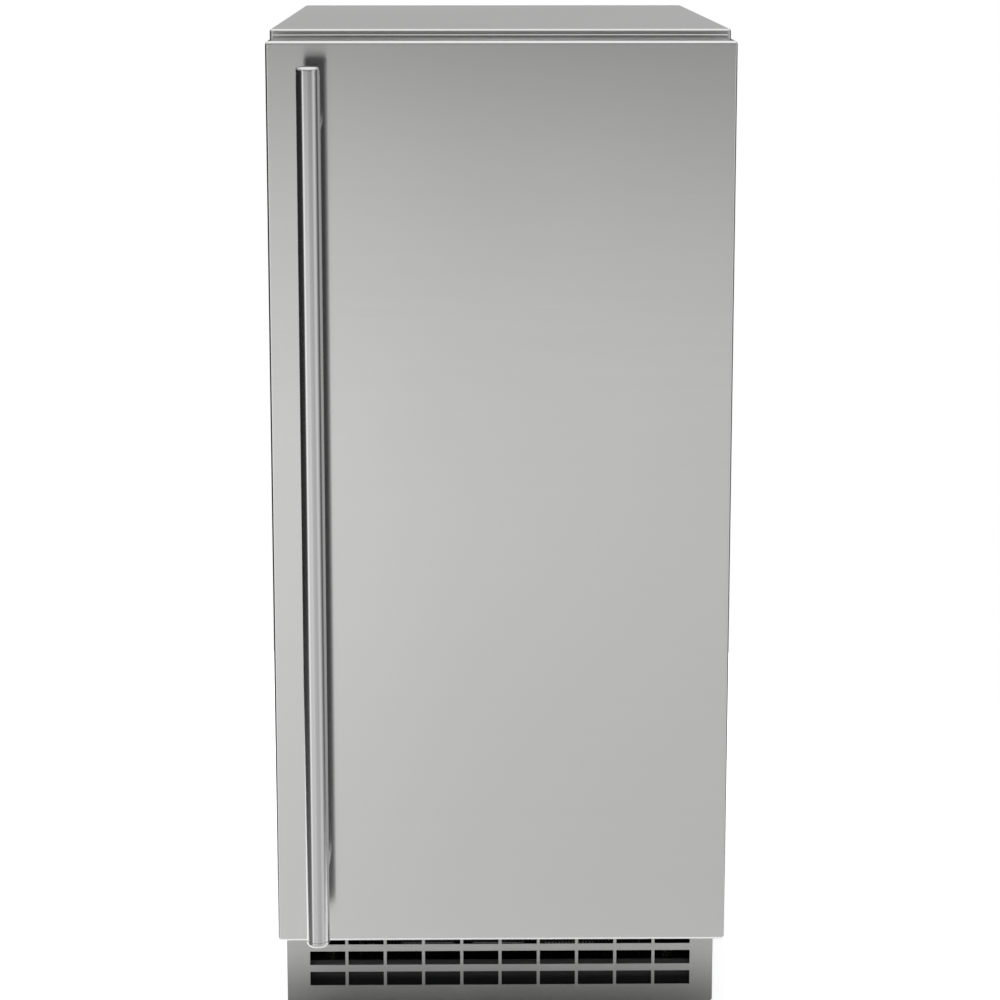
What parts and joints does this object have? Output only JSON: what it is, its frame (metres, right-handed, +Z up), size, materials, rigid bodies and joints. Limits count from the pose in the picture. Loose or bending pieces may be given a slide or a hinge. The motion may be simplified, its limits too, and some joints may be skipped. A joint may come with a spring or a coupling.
{
  "type": "ice maker",
  "caption": "Undercounter ice maker: tall narrow cabinet with a hinged brushed steel door, vertical bar handle, louvred kick grille and an ice bin behind the door.",
  "frame": {"origin": "on the floor, under the middle of the whole object's box", "axes": "+Z up, +Y to the back (the door faces -Y), +X to the right seen from the front"},
  "size_m": [0.378, 0.686, 0.864],
  "materials": {
    "stainless": "fine brushed, horizontal grain on the door",
    "handle_steel": "polished and very finely brushed",
    "painted_shell": "satin dark grey paint",
    "galvanised": "zinc coated sheet",
    "zinc_screws": "bright zinc",
    "foam": "rigid foam",
    "liner_plastic": "smooth white moulding",
    "white_plastic": "moulded white",
    "black_plastic": "fine textured black",
    "gasket_rubber": "soft matt vinyl",
    "black_rubber": "matt",
    "compressor_paint": "gloss black enamel",
    "fin_aluminium": "bare fins",
    "copper": "drawn copper tube",
    "nickel_plate": "electroless nickel, satin",
    "clear_plastic": "frosted clear",
    "brass_fitting": "machined",
    "hose_vinyl": "milky vinyl tube",
    "lamp_lens": "frosted lens",
    "indicator_lens": "tinted lens",
    "bushing_plastic": "acetal",
    "scoop_plastic": "smooth dark moulding"
  },
  "bodies": {
    "cabinet": {"top_panel": "stainless", "front_frame": "stainless", "lower_front_panel": "stainless", "kick_grille": "stainless", "side_panel_left": "painted_shell", "side_panel_right": "painted_shell", "base_pan": "painted_shell", "back_panel": "galvanised", "rear_cover": "galvanised", "hinge_brackets": "galvanised", "cabinet_screws": "zinc_screws", "cabinet_foam": "foam", "bin_liner": "liner_plastic", "evaporator_frame": "white_plastic", "water_trough": "white_plastic", "control_housing": "white_plastic", "scoop_holder": "white_plastic", "water_distributor": "white_plastic", "control_bezel": "black_plastic", "fan_shroud": "black_plastic", "terminal_cover": "black_plastic", "pump_body": "black_plastic", "drain_pump": "black_plastic", "bin_sensor": "black_plastic", "cord_gland": "black_rubber", "compressor_grommets": "black_rubber", "drain_tube": "black_rubber", "compressor": "compressor_paint", "fan_motor": "compressor_paint", "condenser_core": "fin_aluminium", "condenser_tubes": "copper", "discharge_line": "copper", "liquid_line": "copper", "suction_line": "copper", "evaporator_tubing": "copper", "filter_drier": "copper", "evaporator_grid": "nickel_plate", "inlet_valve": "brass_fitting", "recirculation_hose": "hose_vinyl", "water_feed_tube": "hose_vinyl", "light_lens": "lamp_lens", "status_lenses": "indicator_lens"},
    "door": {"door_skin": "stainless", "door_foam": "foam", "door_liner": "liner_plastic", "door_gasket": "gasket_rubber", "handle_bar": "handle_steel", "handle_standoffs": "handle_steel", "handle_screws": "zinc_screws", "hinge_bushings": "bushing_plastic"},
    "fan": {"fan_blade": "black_plastic"},
    "impeller": {"pump_impeller": "black_plastic"},
    "curtain": {"water_curtain": "clear_plastic"},
    "power_key": {"power_button": "black_plastic"},
    "clean_key": {"clean_button": "black_plastic"},
    "scoop": {"ice_scoop": "scoop_plastic"},
    "foot_front_left": {"leg_front_left": "zinc_screws"},
    "foot_front_right": {"leg_front_right": "zinc_screws"},
    "foot_rear_left": {"leg_rear_left": "zinc_screws"},
    "foot_rear_right": {"leg_rear_right": "zinc_screws"}
  },
  "joints": [
    {"name": "door_swing", "type": "hinge", "parent": "cabinet", "child": "door", "pos_m": [0.178, -0.26, 0.48], "axis": [0, 0, 1], "range_deg": [0, 110]},
    {"name": "curtain_swing", "type": "hinge", "parent": "cabinet", "child": "curtain", "pos_m": [0, -0.046, 0.785], "axis": [-1, 0, 0], "range_deg": [0, 60]},
    {"name": "power_button_press", "type": "slide", "parent": "cabinet", "child": "power_key", "axis": [0, 1, 0], "range_m": [0, 0.0015], "stiffness_N_per_m": 400, "springref_m": -0.001},
    {"name": "clean_button_press", "type": "slide", "parent": "cabinet", "child": "clean_key", "axis": [0, 1, 0], "range_m": [0, 0.0015], "stiffness_N_per_m": 400, "springref_m": -0.001},
    {"name": "scoop_lift", "type": "slide", "parent": "cabinet", "child": "scoop", "axis": [0, 0, 1], "range_m": [0, 0.085]},
    {"name": "fan_spin", "type": "hinge", "parent": "cabinet", "child": "fan", "pos_m": [0, -0.086, 0.155], "axis": [0, 1, 0], "continuous": true},
    {"name": "pump_spin", "type": "hinge", "parent": "cabinet", "child": "impeller", "pos_m": [0.06, 0.085, 0.6], "axis": [0, 0, 1], "continuous": true},
    {"name": "leg_front_left_screw", "type": "slide", "parent": "cabinet", "child": "foot_front_left", "axis": [0, 0, -1], "range_m": [0, 0.012]},
    {"name": "leg_front_right_screw", "type": "slide", "parent": "cabinet", "child": "foot_front_right", "axis": [0, 0, -1], "range_m": [0, 0.012]},
    {"name": "leg_rear_left_screw", "type": "slide", "parent": "cabinet", "child": "foot_rear_left", "axis": [0, 0, -1], "range_m": [0, 0.012]},
    {"name": "leg_rear_right_screw", "type": "slide", "parent": "cabinet", "child": "foot_rear_right", "axis": [0, 0, -1], "range_m": [0, 0.012]}
  ]
}
